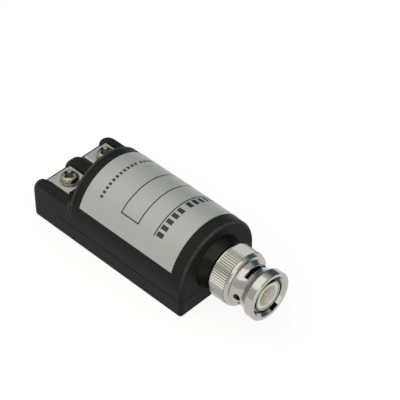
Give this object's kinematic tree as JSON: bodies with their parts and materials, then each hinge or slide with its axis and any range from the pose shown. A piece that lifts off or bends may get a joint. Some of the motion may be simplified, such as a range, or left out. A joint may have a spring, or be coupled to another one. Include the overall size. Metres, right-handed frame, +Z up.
{
  "type": "cctv video balun",
  "caption": "Passive video balun: a moulded housing with a bayonet coaxial plug at one end and screw terminals for a twisted pair at the other.",
  "frame": {"origin": "centre of the housing's underside", "axes": "+X from the screw terminals to the plug, +Z up, +Y to the left seen from the terminals"},
  "size_m": [0.0716, 0.026, 0.0215],
  "materials": {
    "black_plastic": "satin black",
    "label_film": "satin silver grey",
    "nickel": "nickel plated",
    "steel": "zinc plated",
    "white_plastic": "matt white",
    "gold": "gold plated",
    "seal_rubber": "matt",
    "board": "green lacquer",
    "ferrite": "matt",
    "copper": "enamelled wire",
    "component_coat": "lacquered",
    "suppressor_coat": "lacquered"
  },
  "bodies": {
    "housing": {"top_shell": "black_plastic", "bottom_cover": "black_plastic", "label": "label_film", "front_collar": "black_plastic", "connector_body": "nickel", "insulator": "white_plastic", "centre_pin": "gold", "gasket": "seal_rubber", "wave_washer": "steel", "lock_washer": "steel", "ground_lug": "nickel", "lock_nut": "nickel", "contact_strip_left": "nickel", "contact_strip_right": "nickel", "circuit_board": "board", "transformer_core": "ferrite", "winding_line": "copper", "winding_camera": "copper", "capacitor_left": "component_coat", "capacitor_right": "component_coat", "surge_suppressor": "suppressor_coat", "resistor_rear": "component_coat", "resistor_front": "component_coat"},
    "thrust_ring": {"thrust_washer": "steel"},
    "nut": {"coupling_nut": "nickel", "retaining_ring": "steel"},
    "clamp_left": {"clamp_plate_left": "steel"},
    "clamp_right": {"clamp_plate_right": "steel"},
    "screw_left": {"terminal_screw_left": "steel"},
    "screw_right": {"terminal_screw_right": "steel"}
  },
  "joints": [
    {"name": "nut_play", "type": "slide", "parent": "housing", "child": "thrust_ring", "axis": [1, 0, 0], "range_m": [0, 0.00025], "stiffness_N_per_m": 3000},
    {"name": "nut_spin", "type": "hinge", "parent": "thrust_ring", "child": "nut", "pos_m": [0.0271, 0, 0.0107], "axis": [1, 0, 0], "continuous": true},
    {"name": "clamp_left_lift", "type": "slide", "parent": "housing", "child": "clamp_left", "axis": [0, 0, 1], "range_m": [0, 0.0025]},
    {"name": "screw_left_turn", "type": "hinge", "parent": "clamp_left", "child": "screw_left", "pos_m": [-0.0195, 0.00632, 0.0123], "axis": [0, 0, 1], "range_deg": [0, 1800]},
    {"name": "clamp_right_lift", "type": "slide", "parent": "housing", "child": "clamp_right", "axis": [0, 0, 1], "range_m": [0, 0.0025]},
    {"name": "screw_right_turn", "type": "hinge", "parent": "clamp_right", "child": "screw_right", "pos_m": [-0.0195, -0.00632, 0.0123], "axis": [0, 0, 1], "range_deg": [0, 1800]}
  ],
  "couplings": [
    {"joint": "screw_left_turn", "follows": "clamp_left_lift", "rad_per_m": 12566},
    {"joint": "screw_right_turn", "follows": "clamp_right_lift", "rad_per_m": 12566}
  ]
}
